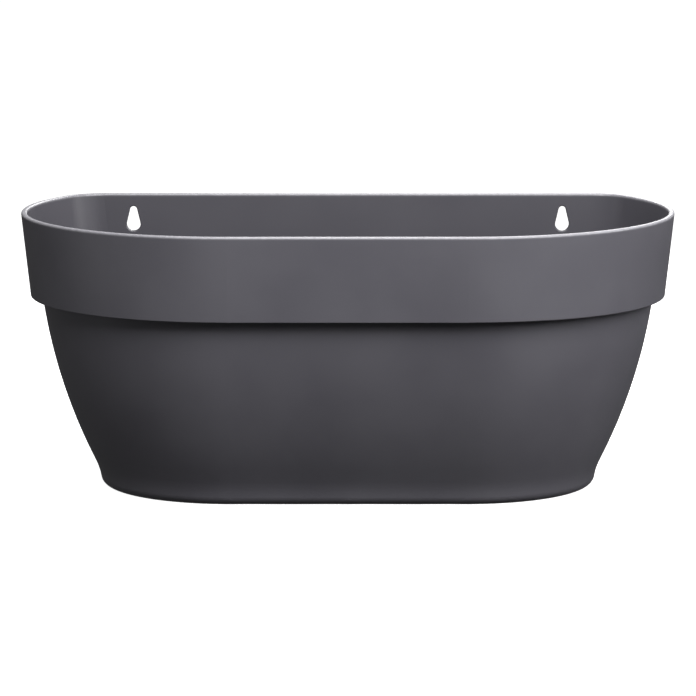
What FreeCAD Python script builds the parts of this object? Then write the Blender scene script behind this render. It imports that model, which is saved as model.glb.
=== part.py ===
import FreeCAD, Part
import math
import os

# Wall planter: a moulded oval shell cut off flat at the back, with a loose perforated plate over its water
# space and two drain plugs. Millimetres, +Z up, the front faces -Y and the wall is on the +Y side.
# The origin is the middle of the footprint box, on the surface that the planter stands on.

# Overall sizes
overall_width = 400.0
overall_depth = 215.0
overall_height = 169.0

# Plan of the shell: the radius of its round ends is a share of its depth
end_radius_share = 0.6
back_corner_radius = 28.0

# Collar round the top
collar_height = 51.6
collar_draft = 5.6
collar_overhang = 7.2
collar_back_step = 2.5
collar_edge_round = 0.5
ledge_round = 1.2
rim_thickness = 3.6
rim_round = 1.3

# Relief in the back of the collar, between the two wall pads
relief_depth = 0.9
relief_run = 16.0
relief_length_share = 0.425

# Body under the collar
base_inset = 48.9
foot_height = 11.0
foot_flare = 2.2
foot_blend_radius = 40.0
body_bulge = 4.8
wall_thickness = 3.0
floor_thickness = 3.0
floor_round = 4.0
foot_ring_width = 11.0
foot_ring_depth = 3.0
foot_edge_round = 6.0

# Keyholes in the back of the collar: their spacing is a share of the overall width
keyhole_spacing_share = 0.675
keyhole_top_radius = 2.2
keyhole_bottom_radius = 4.3
keyhole_height = 15.6
keyhole_below_rim = 8.1
keyhole_edge_round = 0.8

# Drain holes and their plugs: the holes' spacing is a share of the base width
drain_spacing_share = 0.5
drain_hole_radius = 8.0
plug_clearance = 0.08
plug_flange_radius = 13.0
plug_flange_thickness = 2.5
plug_flange_round = 0.8
plug_shank_length = 5.2
plug_shank_chamfer = 1.0
plug_tab_width = 14.0
plug_tab_thickness = 3.0
plug_tab_height = 8.0
plug_tab_eye_radius = 2.2

# Reservoir plate on its legs and wick cups: spacings are shares of the base width or the overall depth
water_height = 25.5
plate_thickness = 2.5
plate_clearance = 1.2
plate_edge_round = 0.8
cup_mouth_radius = 17.0
cup_foot_radius = 12.0
cup_wall = 2.0
cup_spacing_share = 0.78
cup_slot_width = 3.0
cup_slot_height = 13.0
leg_foot_radius = 4.0
leg_top_radius = 5.5
leg_spacing_x_share = 0.7
leg_spacing_y_share = 0.42
hole_radius = 2.5
hole_pitch_x_share = 0.05
hole_pitch_y_share = 0.07
hole_margin = 4.0

# How far each cutting shape runs past the wall that it cuts
overrun = 5.0

# Counts
body_section_count = 17
cup_slot_count = 4
hole_columns = 17
hole_rows = 9

# How close an edge has to be to be picked, as a share of a nearby size
level_share = 0.001
outline_share = 0.01
wall_share = 0.1

# Heights, centre lines and one angle that follow from the sizes above
rim_end_radius = overall_depth * end_radius_share
front_half = overall_width / 2 - rim_end_radius
end_centre_y = rim_end_radius - overall_depth / 2
wall_plane_y = overall_depth / 2
body_back_y = wall_plane_y - collar_back_step
collar_bottom_z = overall_height - collar_height
collar_bottom_half = overall_width / 2 - collar_draft
body_top_half = collar_bottom_half - collar_overhang
base_width = overall_width - 2 * base_inset
keyhole_spacing = overall_width * keyhole_spacing_share
relief_length = overall_width * relief_length_share
drain_spacing = base_width * drain_spacing_share
floor_top_z = foot_ring_depth + floor_thickness
plate_bottom_z = floor_top_z + water_height
plate_top_z = plate_bottom_z + plate_thickness
ledge_top_z = collar_bottom_z + wall_thickness
foot_lean = math.atan(foot_flare / foot_height)


def vec(x, y, z=0.0):
    return FreeCAD.Vector(x, y, z)


def mirrored_x(shape):
    """The same shape on the other side of the planter's middle plane."""
    return shape.mirror(vec(0, 0, 0), vec(1, 0, 0))


def arc_edge(centre, radius, start_angle, end_angle, height):
    """Arc in plan about a centre, angles in radians from +X."""
    def at(angle):
        return vec(centre.x + radius * math.cos(angle), centre.y + radius * math.sin(angle), height)
    return Part.Arc(at(start_angle), at((start_angle + end_angle) / 2), at(end_angle)).toShape()


def line_edge(start, end):
    return Part.LineSegment(start, end).toShape()


def relief_edges(start_x, back_y, height):
    """Right half of the back edge, from the corner to the middle, with an S-shaped step into the relief."""
    radius = (relief_run ** 2 + relief_depth ** 2) / (4 * relief_depth)
    turn = math.asin(relief_run / 2 / radius)
    outer_x = relief_length / 2 + relief_run
    inner_x = relief_length / 2
    outer_centre = vec(outer_x, back_y - radius)
    inner_centre = vec(inner_x, back_y - relief_depth + radius)
    quarter = math.pi / 2
    return [
        line_edge(vec(start_x, back_y, height), vec(outer_x, back_y, height)),
        arc_edge(outer_centre, radius, quarter, quarter + turn, height),
        arc_edge(inner_centre, radius, turn - quarter, -quarter, height),
        line_edge(vec(inner_x, back_y - relief_depth, height), vec(0, back_y - relief_depth, height)),
    ]


def plan_wire(half_width, back_y, height, inset=0.0, relief=False):
    """Closed plan outline: flat front, round ends, rounded back corners and a flat back.

    The inset outline runs at the same distance inside the outer one all the way round.
    """
    front_centre = vec(front_half, end_centre_y)
    front_radius = half_width - front_half - inset
    side_centre = vec(half_width - rim_end_radius, end_centre_y)
    corner_y = back_y - back_corner_radius
    centre_gap = rim_end_radius - back_corner_radius
    corner_angle = math.asin((corner_y - end_centre_y) / centre_gap)
    corner_centre = vec(side_centre.x + centre_gap * math.cos(corner_angle), corner_y)
    front_y = end_centre_y - front_radius
    flat_y = back_y - inset
    quarter = math.pi / 2
    right = [
        line_edge(vec(0, front_y, height), vec(front_half, front_y, height)),
        arc_edge(front_centre, front_radius, -quarter, 0, height),
        arc_edge(side_centre, rim_end_radius - inset, 0, corner_angle, height),
        arc_edge(corner_centre, back_corner_radius - inset, corner_angle, quarter, height),
    ]
    if relief:
        right += relief_edges(corner_centre.x, flat_y, height)
    else:
        right.append(line_edge(vec(corner_centre.x, flat_y, height), vec(0, flat_y, height)))
    left = [mirrored_x(edge) for edge in reversed(right)]
    return Part.Wire(Part.sortEdges(right + left)[0])


def level_edges(shape, height):
    """Edges that lie flat at one height."""
    near = rim_thickness * level_share
    return [
        edge for edge in shape.Edges
        if abs(edge.BoundBox.ZMin - height) < near and abs(edge.BoundBox.ZMax - height) < near
    ]


def edges_along(shape, wire):
    """Edges of a shape that run along a flat outline."""
    near = rim_thickness * outline_share
    found = []
    for edge in level_edges(shape, wire.BoundBox.Center.z):
        middle = edge.valueAt((edge.FirstParameter + edge.LastParameter) / 2)
        if wire.distToShape(Part.Vertex(middle))[0] < near:
            found.append(edge)
    return found


def collar_half_width(height):
    """Outer half width of the collar, which widens evenly from its lower edge to the rim."""
    share = (height - collar_bottom_z) / collar_height
    return collar_bottom_half + collar_draft * share


def side_arc():
    """Centre and radius of the bulging arc that the body's side follows from the foot to the collar."""
    foot_half = base_width / 2 + foot_flare
    run = body_top_half - foot_half
    rise = collar_bottom_z - foot_height
    chord = math.hypot(run, rise)
    radius = chord ** 2 / (8 * body_bulge) + body_bulge / 2
    reach = radius - body_bulge
    centre_x = (foot_half + body_top_half) / 2 - reach * rise / chord
    centre_z = (foot_height + collar_bottom_z) / 2 + reach * run / chord
    return centre_x, centre_z, radius


def foot_blend_centre():
    """Centre of the hollow arc that touches both the foot's straight side and the body's bulging one."""
    arc_x, arc_z, arc_radius = side_arc()
    start_x = base_width / 2 + foot_blend_radius * math.cos(foot_lean)
    start_z = -foot_blend_radius * math.sin(foot_lean)
    across = start_x - arc_x
    below = start_z - arc_z
    along = across * math.sin(foot_lean) + below * math.cos(foot_lean)
    off_line = across * math.cos(foot_lean) - below * math.sin(foot_lean)
    slide = -along - math.sqrt((arc_radius + foot_blend_radius) ** 2 - off_line ** 2)
    return start_x + slide * math.sin(foot_lean), start_z + slide * math.cos(foot_lean)


def body_half_width(height):
    """Outer half width of the body: a steep foot, a hollow blend, then one bulging arc up to the collar."""
    arc_x, arc_z, arc_radius = side_arc()
    blend_x, blend_z = foot_blend_centre()
    blend_start = blend_z + foot_blend_radius * math.sin(foot_lean)
    blend_end = blend_z + (arc_z - blend_z) * foot_blend_radius / (arc_radius + foot_blend_radius)
    if height < blend_start:
        return base_width / 2 + height * math.tan(foot_lean)
    if height < blend_end:
        return blend_x - math.sqrt(foot_blend_radius ** 2 - (height - blend_z) ** 2)
    return arc_x + math.sqrt(arc_radius ** 2 - (height - arc_z) ** 2)


def body_levels(start, end):
    """Evenly spaced heights for the body's sections, the two ends included."""
    step = (end - start) / (body_section_count - 1)
    return [start + step * index for index in range(body_section_count)]


def loft_solid(wires, ruled):
    """Closed loft through level outlines, with each of its flat sides made a true plane."""
    loft = Part.makeLoft(wires, True, ruled)
    faces = []
    for face in loft.Faces:
        plane = face.findPlane()
        if plane:
            flat = Part.Face(plane.toShape(), face.OuterWire)
            if flat.normalAt(0, 0).dot(face.normalAt(0, 0)) < 0:
                flat.reverse()
            face = flat
        faces.append(face)
    return Part.Solid(Part.Shell(faces))


def make_outer():
    """Solid outer form: collar with rounded edges on the flared body."""
    collar = loft_solid([
        plan_wire(collar_bottom_half, wall_plane_y, collar_bottom_z, relief=True),
        plan_wire(overall_width / 2, wall_plane_y, overall_height, relief=True),
    ], True)
    collar = collar.makeFillet(collar_edge_round, level_edges(collar, collar_bottom_z))
    collar = collar.makeFillet(rim_round, level_edges(collar, overall_height))
    body = loft_solid([
        plan_wire(body_half_width(z), body_back_y, z) for z in body_levels(0.0, ledge_top_z)
    ], False)
    body = body.makeFillet(foot_edge_round, level_edges(body, 0.0))
    return collar.fuse(body)


def make_cavity():
    """Planting space: the outer form drawn in by the wall, with the same step under the collar."""
    top = overall_height + overrun
    upper = loft_solid([
        plan_wire(collar_half_width(ledge_top_z), wall_plane_y, ledge_top_z, rim_thickness),
        plan_wire(collar_half_width(top), wall_plane_y, top, rim_thickness),
    ], True)
    sections = []
    for z in body_levels(floor_top_z, ledge_top_z + overrun):
        sections.append(plan_wire(body_half_width(z), body_back_y, z, wall_thickness))
    lower = loft_solid(sections, False)
    lower = lower.makeFillet(floor_round, level_edges(lower, floor_top_z))
    return upper.fuse(lower)


def keyhole_tool():
    """Teardrop prism for the right keyhole: small round on top, large round below, joined by tangents."""
    centre_x = keyhole_spacing / 2
    top_z = overall_height - keyhole_below_rim - keyhole_top_radius
    bottom_z = overall_height - keyhole_below_rim - keyhole_height + keyhole_bottom_radius
    lean = math.asin((keyhole_bottom_radius - keyhole_top_radius) / (top_z - bottom_z))
    side = math.cos(lean)
    lift = math.sin(lean)
    start_y = wall_plane_y - rim_thickness - overrun

    def on_lobe(centre_z, radius, x_share, z_share):
        return vec(centre_x + radius * x_share, start_y, centre_z + radius * z_share)

    top_right = on_lobe(top_z, keyhole_top_radius, side, lift)
    top_left = on_lobe(top_z, keyhole_top_radius, -side, lift)
    bottom_right = on_lobe(bottom_z, keyhole_bottom_radius, side, lift)
    bottom_left = on_lobe(bottom_z, keyhole_bottom_radius, -side, lift)
    wire = Part.Wire([
        line_edge(bottom_right, top_right),
        Part.Arc(top_right, on_lobe(top_z, keyhole_top_radius, 0, 1), top_left).toShape(),
        line_edge(top_left, bottom_left),
        Part.Arc(bottom_left, on_lobe(bottom_z, keyhole_bottom_radius, 0, -1), bottom_right).toShape(),
    ])
    return Part.Face(wire).extrude(vec(0, rim_thickness + 2 * overrun, 0))


def drain_place(side):
    return vec(side * drain_spacing / 2, end_centre_y, floor_top_z)


def make_shell():
    shell = make_outer().cut(make_cavity())
    rim_wire = plan_wire(overall_width / 2, wall_plane_y, overall_height, rim_thickness)
    shell = shell.makeFillet(rim_round, edges_along(shell, rim_wire))
    ledge_wire = plan_wire(body_half_width(ledge_top_z), body_back_y, ledge_top_z, wall_thickness)
    shell = shell.makeFillet(ledge_round, edges_along(shell, ledge_wire))
    recess = Part.Face(plan_wire(base_width / 2, body_back_y, -overrun, foot_ring_width))
    tools = [recess.extrude(vec(0, 0, overrun + foot_ring_depth))]
    keyhole = keyhole_tool()
    tools += [keyhole, mirrored_x(keyhole)]
    for side in (-1, 1):
        place = drain_place(side) - vec(0, 0, floor_thickness + overrun)
        tools.append(Part.makeCylinder(drain_hole_radius, floor_thickness + 2 * overrun, place))
    return soften_keyholes(shell.cut(tools))


def soften_keyholes(shell):
    """Round the keyholes' edges on the inner face of the back wall."""
    inner_y = wall_plane_y - rim_thickness
    near = rim_thickness * wall_share
    edges = []
    for edge in shell.Edges:
        box = edge.BoundBox
        reach = abs(abs(box.Center.x) - keyhole_spacing / 2)
        if reach < 2 * keyhole_bottom_radius and abs(box.Center.y - inner_y) < near:
            if box.DiagonalLength < 2 * keyhole_height and box.ZMax < overall_height - rim_round:
                edges.append(edge)
    return shell.makeFillet(keyhole_edge_round, edges)


def make_plug(side):
    """Drain plug: a flange on the floor, a shank through the hole and a pull tab with an eye."""
    place = drain_place(side)
    flange = Part.makeCylinder(plug_flange_radius, plug_flange_thickness, place)
    flange = flange.makeFillet(plug_flange_round, level_edges(flange, place.z + plug_flange_thickness))
    shank_radius = drain_hole_radius - plug_clearance
    shank = Part.makeCylinder(shank_radius, plug_shank_length, place - vec(0, 0, plug_shank_length))
    shank = shank.makeChamfer(plug_shank_chamfer, level_edges(shank, place.z - plug_shank_length))
    tab_z = place.z + plug_flange_thickness - plug_flange_round
    tab_rise = plug_tab_height + plug_flange_round
    corner = vec(place.x - plug_tab_width / 2, place.y - plug_tab_thickness / 2, tab_z)
    tab = Part.makeBox(plug_tab_width, plug_tab_thickness, tab_rise - plug_tab_width / 2, corner)
    eye_z = tab_z + tab_rise - plug_tab_width / 2
    along = vec(0, 1, 0)
    head = Part.makeCylinder(plug_tab_width / 2, plug_tab_thickness, vec(place.x, corner.y, eye_z), along)
    eye_start = vec(place.x, corner.y - overrun, eye_z)
    eye = Part.makeCylinder(plug_tab_eye_radius, plug_tab_thickness + 2 * overrun, eye_start, along)
    return flange.fuse([shank, tab, head]).cut(eye).removeSplitter()


def cup_places():
    return [vec(side * base_width * cup_spacing_share / 2, end_centre_y) for side in (-1, 1)]


def leg_places():
    """Four legs, two by two about the shell's end centre line."""
    places = []
    for side in (-1, 1):
        for row in (-1, 1):
            x = side * base_width * leg_spacing_x_share / 2
            y = end_centre_y + row * overall_depth * leg_spacing_y_share / 2
            places.append(vec(x, y))
    return places


def plate_hole_places(middle_y):
    """Even grid of small drain holes, clear of the wick cups and the legs."""
    keep_out = [(place, cup_mouth_radius) for place in cup_places()]
    keep_out += [(place, leg_top_radius) for place in leg_places()]
    clear = hole_radius + hole_margin
    places = []
    for column in range(hole_columns):
        for row in range(hole_rows):
            x = (column - (hole_columns - 1) / 2) * base_width * hole_pitch_x_share
            y = middle_y + (row - (hole_rows - 1) / 2) * overall_depth * hole_pitch_y_share
            place = vec(x, y)
            if all((place - other).Length > radius + clear for other, radius in keep_out):
                places.append(place)
    return places


def round_wire(place, radius, height):
    circle = Part.Circle(vec(place.x, place.y, height), vec(0, 0, 1), radius)
    return Part.Wire([circle.toShape()])


def make_cup(place):
    """Hollow wick cup: an open cone from the plate down to the floor, with slots that let water in."""
    height = plate_top_z - floor_top_z
    foot = vec(place.x, place.y, floor_top_z)
    outer = Part.makeCone(cup_foot_radius, cup_mouth_radius, height, foot)
    rise = height - cup_wall
    slope = (cup_mouth_radius - cup_foot_radius) / height
    inner_foot = cup_foot_radius + slope * cup_wall - cup_wall
    inner_top = cup_mouth_radius + slope * overrun - cup_wall
    inner = Part.makeCone(inner_foot, inner_top, rise + overrun, foot + vec(0, 0, cup_wall))
    cup = outer.cut(inner)
    slots = []
    for index in range(cup_slot_count):
        slot = Part.makeBox(
            cup_mouth_radius, cup_slot_width, cup_slot_height,
            foot + vec(cup_wall, -cup_slot_width / 2, cup_wall),
        )
        slot.rotate(foot, vec(0, 0, 1), 360 * (index + 0.5) / cup_slot_count)
        slots.append(slot)
    return cup.cut(slots)


def make_plate():
    """Perforated false floor, one moulding with its wick cups and legs."""
    half_width = body_half_width(plate_bottom_z)
    inset = wall_thickness + plate_clearance
    edge_wire = plan_wire(half_width, body_back_y, plate_bottom_z, inset)
    slab = Part.Face(edge_wire).extrude(vec(0, 0, plate_thickness))
    slab = slab.makeFillet(plate_edge_round, level_edges(slab, plate_top_z))
    through = vec(0, 0, plate_thickness + 2 * overrun)
    start_z = plate_bottom_z - overrun
    cutters = []
    for place in plate_hole_places(edge_wire.BoundBox.Center.y):
        cutters.append(Part.Face(round_wire(place, hole_radius, start_z)).extrude(through))
    for place in cup_places():
        mouth = cup_mouth_radius - cup_wall / 2
        cutters.append(Part.Face(round_wire(place, mouth, start_z)).extrude(through))
    feet = [make_cup(place) for place in cup_places()]
    for place in leg_places():
        foot = vec(place.x, place.y, floor_top_z)
        feet.append(Part.makeCone(leg_foot_radius, leg_top_radius, plate_top_z - floor_top_z, foot))
    return slab.cut(cutters).fuse(feet).removeSplitter()


def main():
    os.makedirs("parts", exist_ok=True)
    nodes = {
        "planter_shell": make_shell(),
        "reservoir_plate": make_plate(),
        "drain_plug_left": make_plug(-1),
        "drain_plug_right": make_plug(1),
    }
    for name, shape in nodes.items():
        solid = shape.Solids[0] if len(shape.Solids) == 1 else shape
        box = solid.optimalBoundingBox()
        print(name, "solids", len(shape.Solids), "valid", solid.isValid(), "volume", round(solid.Volume))
        print("  box", [round(v, 2) for v in (box.XMin, box.YMin, box.ZMin, box.XMax, box.YMax, box.ZMax)])
        solid.exportStep("parts/" + name + ".step")


main()
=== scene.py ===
# %% [markdown]
# # A moulded wall planter
# The planter is one dark plastic moulding: an oval trough cut off flat at the back, with a proud collar
# round its top. Inside lie a loose perforated plate and two rubber drain plugs. The measured solids already
# have the true shape, so this lesson doesn't model them again. It gives each one the finish of the real
# material, sets a small photo studio round the planter, and looks at it through a long lens.

# %% Load the measured solids
import math

import bmesh
import bpy
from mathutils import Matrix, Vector


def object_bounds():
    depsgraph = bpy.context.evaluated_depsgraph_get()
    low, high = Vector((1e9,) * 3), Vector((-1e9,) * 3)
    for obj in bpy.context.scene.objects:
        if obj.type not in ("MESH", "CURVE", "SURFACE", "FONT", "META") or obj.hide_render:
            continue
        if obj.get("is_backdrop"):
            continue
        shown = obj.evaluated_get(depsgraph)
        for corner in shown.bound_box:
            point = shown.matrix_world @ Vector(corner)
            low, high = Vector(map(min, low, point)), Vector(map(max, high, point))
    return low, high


mm_per_metre = 1000

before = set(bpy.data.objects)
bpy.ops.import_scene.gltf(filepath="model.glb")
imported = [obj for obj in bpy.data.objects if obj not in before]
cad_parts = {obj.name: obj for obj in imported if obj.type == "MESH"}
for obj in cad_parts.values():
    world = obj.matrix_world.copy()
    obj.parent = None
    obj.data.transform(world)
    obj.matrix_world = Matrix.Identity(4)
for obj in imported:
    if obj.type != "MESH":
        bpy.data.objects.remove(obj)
cad_low, cad_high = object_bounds()
print("nodes", sorted(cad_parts))
print("size in mm", [round(mm_per_metre * side, 1) for side in cad_high - cad_low])

# %% [markdown]
# ## The camera
# The photo is taken from the front and a little above, and its lines barely run together, so the camera
# stands far away with a long lens. A short lens up close would bow the collar's edges more. The distance
# and the height come from fitting the rim, the collar and the base to the photo.

# %% Camera
view_distance = 2.909
view_elevation = math.radians(8.85)
view_aim = Vector((0.0001, 0.0215, 0.0834))
lens_mm = 244.6
view_reach = 60

toward_camera = Vector((0, -math.cos(view_elevation), math.sin(view_elevation)))
camera = bpy.data.objects.new("studio_camera", bpy.data.cameras.new("studio_camera"))
camera.data.lens = lens_mm
camera.data.clip_end = view_reach
camera.location = view_aim + view_distance * toward_camera
camera.rotation_euler = (-toward_camera).to_track_quat("-Z", "Y").to_euler()
bpy.context.scene.collection.objects.link(camera)
bpy.context.scene.camera = camera
print("camera stands at", [round(place, 3) for place in camera.location])

# %% [markdown]
# ## Small helpers for node materials
# Every finish here is a little network of shader nodes, and a few helpers keep the later cells short. The
# first adds a node and fills in its inputs, where an input may be a plain value or another node's output.
# The others start a material and add the nodes that every finish uses: noise, ranges, sums, blends and fine
# relief. The colours are given in linear light, as Blender stores them.

# %% Node helpers
noise_middle = (0.3, 0.7)
mix_colour_inputs = (6, 7)
mix_colour_output = 2


def add_node(tree, kind, inputs=None, **settings):
    """Add a node, set its properties, then fill inputs with values or link them from other outputs."""
    node = tree.nodes.new(kind)
    for name, value in settings.items():
        setattr(node, name, value)
    for name, value in (inputs or {}).items():
        if isinstance(value, bpy.types.NodeSocket):
            tree.links.new(value, node.inputs[name])
        else:
            node.inputs[name].default_value = value
    return node


def start_material(name):
    """New node material, with its tree and its main shader."""
    material = bpy.data.materials.new(name)
    material.use_nodes = True
    return material, material.node_tree, material.node_tree.nodes["Principled BSDF"]


def noise(tree, place, scale, detail=2.0):
    """Soft random value between 0 and 1 at a place; scale is in features per metre."""
    inputs = {"Vector": place, "Scale": scale, "Detail": detail}
    return add_node(tree, "ShaderNodeTexNoise", inputs).outputs["Fac"]


def remap(tree, value, low, high, to_low=0.0, to_high=1.0):
    """Ease a value from one range into another, and hold it at the ends."""
    inputs = {"Value": value, "From Min": low, "From Max": high, "To Min": to_low, "To Max": to_high}
    return add_node(tree, "ShaderNodeMapRange", inputs, interpolation_type="SMOOTHSTEP").outputs["Result"]


def combine(tree, operation, first, second):
    """One sum of two values, such as ADD or MULTIPLY."""
    return add_node(tree, "ShaderNodeMath", {0: first, 1: second}, operation=operation).outputs["Value"]


def combine_vectors(tree, operation, first, second=(0, 0, 0)):
    """One sum of two vectors, such as SUBTRACT; its node has a vector and a value output."""
    return add_node(tree, "ShaderNodeVectorMath", {0: first, 1: second}, operation=operation).outputs


def blend_colours(tree, share, first, second):
    """Colour that goes from the first to the second as the share rises."""
    node = add_node(tree, "ShaderNodeMix", {"Factor": share}, data_type="RGBA")
    for index, value in zip(mix_colour_inputs, (first, second)):
        socket = node.inputs[index]
        if isinstance(value, bpy.types.NodeSocket):
            tree.links.new(value, socket)
        else:
            socket.default_value = (*value, 1.0)
    return node.outputs[mix_colour_output]


def relief(tree, height, depth, strength, under=None):
    """Fine relief of a real depth in metres, laid over another relief if one is given."""
    inputs = {"Height": height, "Distance": depth, "Strength": strength}
    if under is not None:
        inputs["Normal"] = under
    return add_node(tree, "ShaderNodeBump", inputs).outputs["Normal"]


print("helpers ready")

# %% [markdown]
# ## The shell's satin plastic
# The outside of such a planter comes from a mould that was eroded to an even, fine grain, so the plastic
# looks satin and never mirror-like. The core of the mould is polished, which leaves the inside a little
# smoother, and the inside's colour is painted darker as painted shade. An image of plastic would show its
# pixels close up, so grain and clouding are made from noise at their real sizes: grain of about half a
# millimetre, clouds of several centimetres. A paler band along the rim's top is a painted highlight, broken up
# by noise.

# %% Shell: where the inside and the painted rim highlight are
anthracite = (0.081, 0.0785, 0.0920)
anthracite_light = (0.095, 0.0925, 0.1065)
# Paler colour of the painted highlight along the rim's top.
anthracite_rim_highlight = (0.235, 0.231, 0.250)
# Darker colour inside the trough, as painted shade.
anthracite_inside_shade = (0.054, 0.052, 0.061)
end_centre_x = 0.071
end_centre_y = 0.0215
rim_top = cad_high.z
rim_fade = 0.0022
rim_full = 0.0002
inside_range = (0.1, -0.3)
# Noise size and ranges that break up the painted rim highlight.
highlight_breakups_per_metre = 420.0
highlight_breakup_range = (0.35, 0.70)
least_rim_highlight = 0.78

shell_plastic, tree, shader = start_material("shell_plastic")
place = add_node(tree, "ShaderNodeTexCoord").outputs["Object"]
axis = add_node(tree, "ShaderNodeSeparateXYZ", {"Vector": place})
height = axis.outputs["Z"]
reach = {"Value": axis.outputs["X"], "Min": -end_centre_x, "Max": end_centre_x}
along = add_node(tree, "ShaderNodeClamp", reach).outputs["Result"]
centre = {"X": along, "Y": end_centre_y, "Z": height}
middle = add_node(tree, "ShaderNodeCombineXYZ", centre).outputs["Vector"]
outward = combine_vectors(tree, "SUBTRACT", place, middle)["Vector"]
outward = combine_vectors(tree, "NORMALIZE", outward)["Vector"]
facing = add_node(tree, "ShaderNodeNewGeometry").outputs["Normal"]
away = combine_vectors(tree, "DOT_PRODUCT", outward, facing)["Value"]
inside = remap(tree, away, *inside_range)
rim_band = remap(tree, height, rim_top - rim_fade, rim_top - rim_full)
# The painted highlight along the rim's top: a pale band, broken up by noise.
highlight_breakup = remap(tree, noise(tree, place, highlight_breakups_per_metre, detail=4.0), *highlight_breakup_range)
rim_highlight = combine(tree, "MULTIPLY", rim_band, remap(tree, highlight_breakup, 0.0, 1.0, least_rim_highlight, 1.0))
print("shell masks made up to the rim at", round(rim_top, 4), "m")

# %% Shell: colour, roughness and grain
clouds_per_metre = 16.0
grains_per_metre = 1700.0
sways_per_metre = 13.0
grain_range = (0.35, 0.75)
grain_tint = 0.35
# How far the inside is painted darker, as painted shade.
inside_shade_share = 0.8
cloud_spread = (0.25, 0.75)
shell_roughness = (0.42, 0.49)
grain_roughness = 0.03
inside_polish = 0.07
rim_highlight_polish = 0.06
inside_grain = 0.35
sway_depth = 0.0006
sway_strength = 0.12
grain_depth = 0.00004
grain_strength = 0.5
plastic_ior = 1.49

clouds = noise(tree, place, clouds_per_metre, detail=3.0)
grain = noise(tree, place, grains_per_metre)
colour = blend_colours(tree, remap(tree, clouds, *noise_middle), anthracite, anthracite_light)
colour = blend_colours(tree, remap(tree, grain, *grain_range, 0.0, grain_tint), colour, anthracite_light)
# Painted shade: the inside is blended darker.
colour = blend_colours(tree, remap(tree, inside, 0.0, 1.0, 0.0, inside_shade_share), colour, anthracite_inside_shade)
# Painted highlight: the rim's top is blended paler.
colour = blend_colours(tree, rim_highlight, colour, anthracite_rim_highlight)
tree.links.new(colour, shader.inputs["Base Color"])

roughness = remap(tree, clouds, *cloud_spread, *shell_roughness)
grain_change = remap(tree, grain, *noise_middle, -grain_roughness, grain_roughness)
roughness = combine(tree, "ADD", roughness, grain_change)
roughness = combine(tree, "SUBTRACT", roughness, combine(tree, "MULTIPLY", inside, inside_polish))
# The band of the painted rim highlight is also a little less rough.
roughness = combine(tree, "SUBTRACT", roughness, combine(tree, "MULTIPLY", rim_highlight, rim_highlight_polish))
tree.links.new(roughness, shader.inputs["Roughness"])

sway = relief(tree, noise(tree, place, sways_per_metre, detail=1.0), sway_depth, sway_strength)
grain_height = combine(tree, "MULTIPLY", grain, remap(tree, inside, 0.0, 1.0, 1.0, inside_grain))
tree.links.new(relief(tree, grain_height, grain_depth, grain_strength, sway), shader.inputs["Normal"])
shader.inputs["IOR"].default_value = plastic_ior
print("shell plastic has", len(tree.nodes), "nodes")

# %% [markdown]
# ## The plate's plain plastic
# The plate is moulded from recycled black plastic, which nobody sees in use. It is duller than the shell, with
# faint flow marks, so its clouds are smaller and stronger and its grain is coarser.

# %% Plate plastic
plate_dark = (0.026, 0.026, 0.028)
plate_pale = (0.042, 0.042, 0.045)
flows_per_metre = 45.0
plate_grains_per_metre = 1100.0
plate_roughness = (0.50, 0.62)
plate_grain_depth = 0.00005
plate_grain_strength = 0.6

plate_plastic, tree, shader = start_material("plate_plastic")
place = add_node(tree, "ShaderNodeTexCoord").outputs["Object"]
flow = noise(tree, place, flows_per_metre, detail=4.0)
grain = noise(tree, place, plate_grains_per_metre)
colour = blend_colours(tree, remap(tree, flow, *noise_middle), plate_dark, plate_pale)
tree.links.new(colour, shader.inputs["Base Color"])
tree.links.new(remap(tree, flow, *noise_middle, *plate_roughness), shader.inputs["Roughness"])
tree.links.new(relief(tree, grain, plate_grain_depth, plate_grain_strength), shader.inputs["Normal"])
shader.inputs["IOR"].default_value = plastic_ior
print("plate plastic has", len(tree.nodes), "nodes")

# %% [markdown]
# ## The plugs' rubber
# The plugs are soft rubber. Rubber scatters light broadly and takes a dusty bloom, so the shader is rough,
# its gloss is low and pale dust gathers in patches.

# %% Plug rubber
rubber_dark = (0.019, 0.019, 0.020)
rubber_dusty = (0.046, 0.045, 0.044)
blooms_per_metre = 220.0
bloom_range = (0.45, 0.75)
pores_per_metre = 2600.0
rubber_roughness = (0.66, 0.82)
pore_depth = 0.00003
pore_strength = 0.6
rubber_ior = 1.45

plug_rubber, tree, shader = start_material("plug_rubber")
place = add_node(tree, "ShaderNodeTexCoord").outputs["Object"]
bloom = remap(tree, noise(tree, place, blooms_per_metre, detail=4.0), *bloom_range)
pores = noise(tree, place, pores_per_metre)
colour = blend_colours(tree, bloom, rubber_dark, rubber_dusty)
tree.links.new(colour, shader.inputs["Base Color"])
tree.links.new(remap(tree, bloom, 0.0, 1.0, *rubber_roughness), shader.inputs["Roughness"])
tree.links.new(relief(tree, pores, pore_depth, pore_strength), shader.inputs["Normal"])
shader.inputs["IOR"].default_value = rubber_ior
print("plug rubber has", len(tree.nodes), "nodes")

# %% [markdown]
# ## Giving each piece its finish
# A piece keeps its measured mesh and only trades its plain material for the finished one.

# %% Assign the finishes
finishes = {
    "planter_shell": shell_plastic,
    "reservoir_plate": plate_plastic,
    "drain_plug_left": plug_rubber,
    "drain_plug_right": plug_rubber,
}
for name, finish in finishes.items():
    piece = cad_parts[name]
    for material_slot in piece.material_slots:
        material_slot.material = finish
    print(name, "wears", finish.name, "on", len(piece.data.polygons), "faces")

# %% [markdown]
# ## The floor
# The photo has a pure white ground with no shadow, as a lit table gives. The floor here glows a little by
# itself, so that it stays white at any distance. A glowing floor would also throw light up into the dark
# hollow under the collar, so it is seen by the camera but kept out of the bounced light.

# %% Floor
floor_half = 12.0
floor_glow = 1.1
floor_roughness = 0.9
paper_dull = (0.86, 0.86, 0.86)
paper_bright = (0.89, 0.89, 0.89)
paper_clouds_per_metre = 3.0

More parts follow.
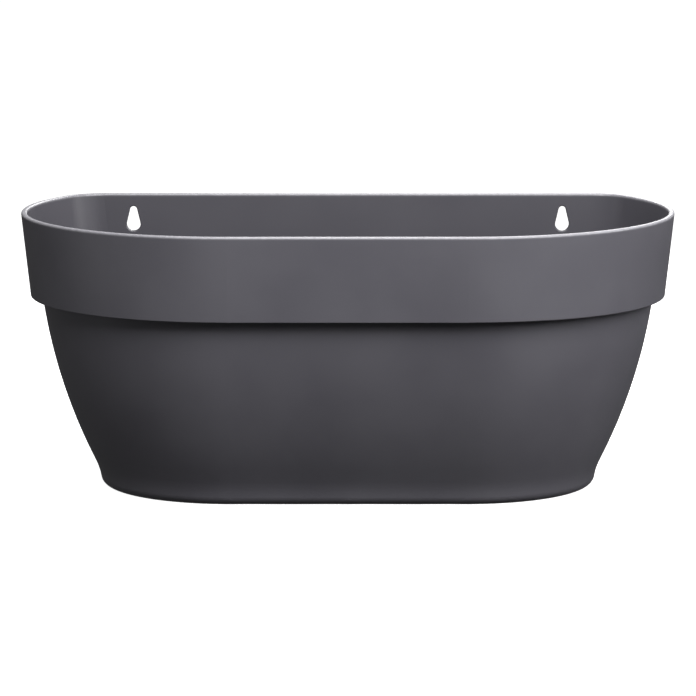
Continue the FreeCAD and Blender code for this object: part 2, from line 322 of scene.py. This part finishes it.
grid = bmesh.new()
bmesh.ops.create_grid(grid, x_segments=1, y_segments=1, size=floor_half)
floor_mesh = bpy.data.meshes.new("floor")
grid.to_mesh(floor_mesh)
grid.free()
floor = bpy.data.objects.new("floor", floor_mesh)
bpy.context.scene.collection.objects.link(floor)
floor_paper, tree, shader = start_material("floor_paper")
place = add_node(tree, "ShaderNodeTexCoord").outputs["Object"]
colour = blend_colours(tree, noise(tree, place, paper_clouds_per_metre), paper_dull, paper_bright)
tree.links.new(colour, shader.inputs["Base Color"])
tree.links.new(colour, shader.inputs["Emission Color"])
shader.inputs["Emission Strength"].default_value = floor_glow
shader.inputs["Roughness"].default_value = floor_roughness
floor_mesh.materials.append(floor_paper)
floor.visible_diffuse = False
floor.visible_glossy = False
floor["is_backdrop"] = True
print("floor reaches", floor_half, "m each way")

# %% [markdown]
# ## Softboxes
# The collar is brightest at its right end and fades steadily to the left, even along its flat front. A
# distant light can't do that: light fades within such a short length only when it stands close. So the
# softboxes stand within a metre: two on the right, one near the middle, a weak fill low on the left, and
# one overhead, which the rounded rim catches as a bright line. The height of the front ones sets how far
# the collar's shadow reaches down the body. One more stands behind for views of the back.

# %% Softboxes
def soft_box(name, azimuth, elevation, distance, width, watts):
    """Square softbox that faces the planter: azimuth in degrees counts from the front towards the right."""
    turn, rise = math.radians(azimuth), math.radians(elevation)
    toward = Vector((math.sin(turn) * math.cos(rise), -math.cos(turn) * math.cos(rise), math.sin(rise)))
    lamp = bpy.data.lights.new(name, "AREA")
    lamp.size = width
    lamp.energy = watts
    box = bpy.data.objects.new(name, lamp)
    box.location = view_aim + distance * toward
    box.rotation_euler = (-toward).to_track_quat("-Z", "Y").to_euler()
    box.visible_camera = False
    bpy.context.scene.collection.objects.link(box)
    print(name, "at", [round(place, 2) for place in box.location])


soft_box("front_softbox", azimuth=-10, elevation=47, distance=0.85, width=0.45, watts=5.8)
soft_box("right_softbox", azimuth=36, elevation=35, distance=0.85, width=0.50, watts=6.4)
soft_box("side_softbox", azimuth=80, elevation=22, distance=0.90, width=0.50, watts=3.9)
soft_box("fill_softbox", azimuth=-75, elevation=6, distance=0.90, width=0.50, watts=0.6)
soft_box("top_softbox", azimuth=20, elevation=86, distance=0.95, width=0.60, watts=6.5)
soft_box("back_softbox", azimuth=170, elevation=30, distance=1.00, width=0.50, watts=4.0)

# %% [markdown]
# ## The room's glow
# A room gives back some light from all sides: dim walls in front, a brighter backdrop behind, and a little
# from the table below. This glow keeps the left end and the hollow under the collar from going black. It
# changes with the direction only.

# %% World glow
back_glow = 0.3
front_glow = 0.03
below_glow = 0.08
back_edge = 0.7
horizon_blur = 0.1
glow_colour = (1.0, 1.0, 1.0, 1.0)

world = bpy.data.worlds.new("studio_glow")
world.use_nodes = True
tree = world.node_tree
direction = add_node(tree, "ShaderNodeTexCoord").outputs["Generated"]
side = add_node(tree, "ShaderNodeSeparateXYZ", {"Vector": direction})
above = remap(tree, side.outputs["Y"], 0.0, back_edge, front_glow, back_glow)
share = remap(tree, side.outputs["Z"], -horizon_blur, horizon_blur)
glow = add_node(tree, "ShaderNodeMix", {"Factor": share, "A": below_glow, "B": above}).outputs["Result"]
tree.nodes["Background"].inputs["Color"].default_value = glow_colour
tree.links.new(glow, tree.nodes["Background"].inputs["Strength"])
bpy.context.scene.world = world
bpy.context.scene.view_settings.view_transform = "Standard"
print("glow behind", back_glow, "in front", front_glow, "below", below_glow)

# %% [markdown]
# ## The size
# The dressed planter must fill the same box as the measured one, so the change between the two boxes is
# printed.

# %% Sizes
low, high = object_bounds()
changes = (*(low - cad_low), *(high - cad_high))
print("box change in mm", [round(mm_per_metre * change, 3) for change in changes])
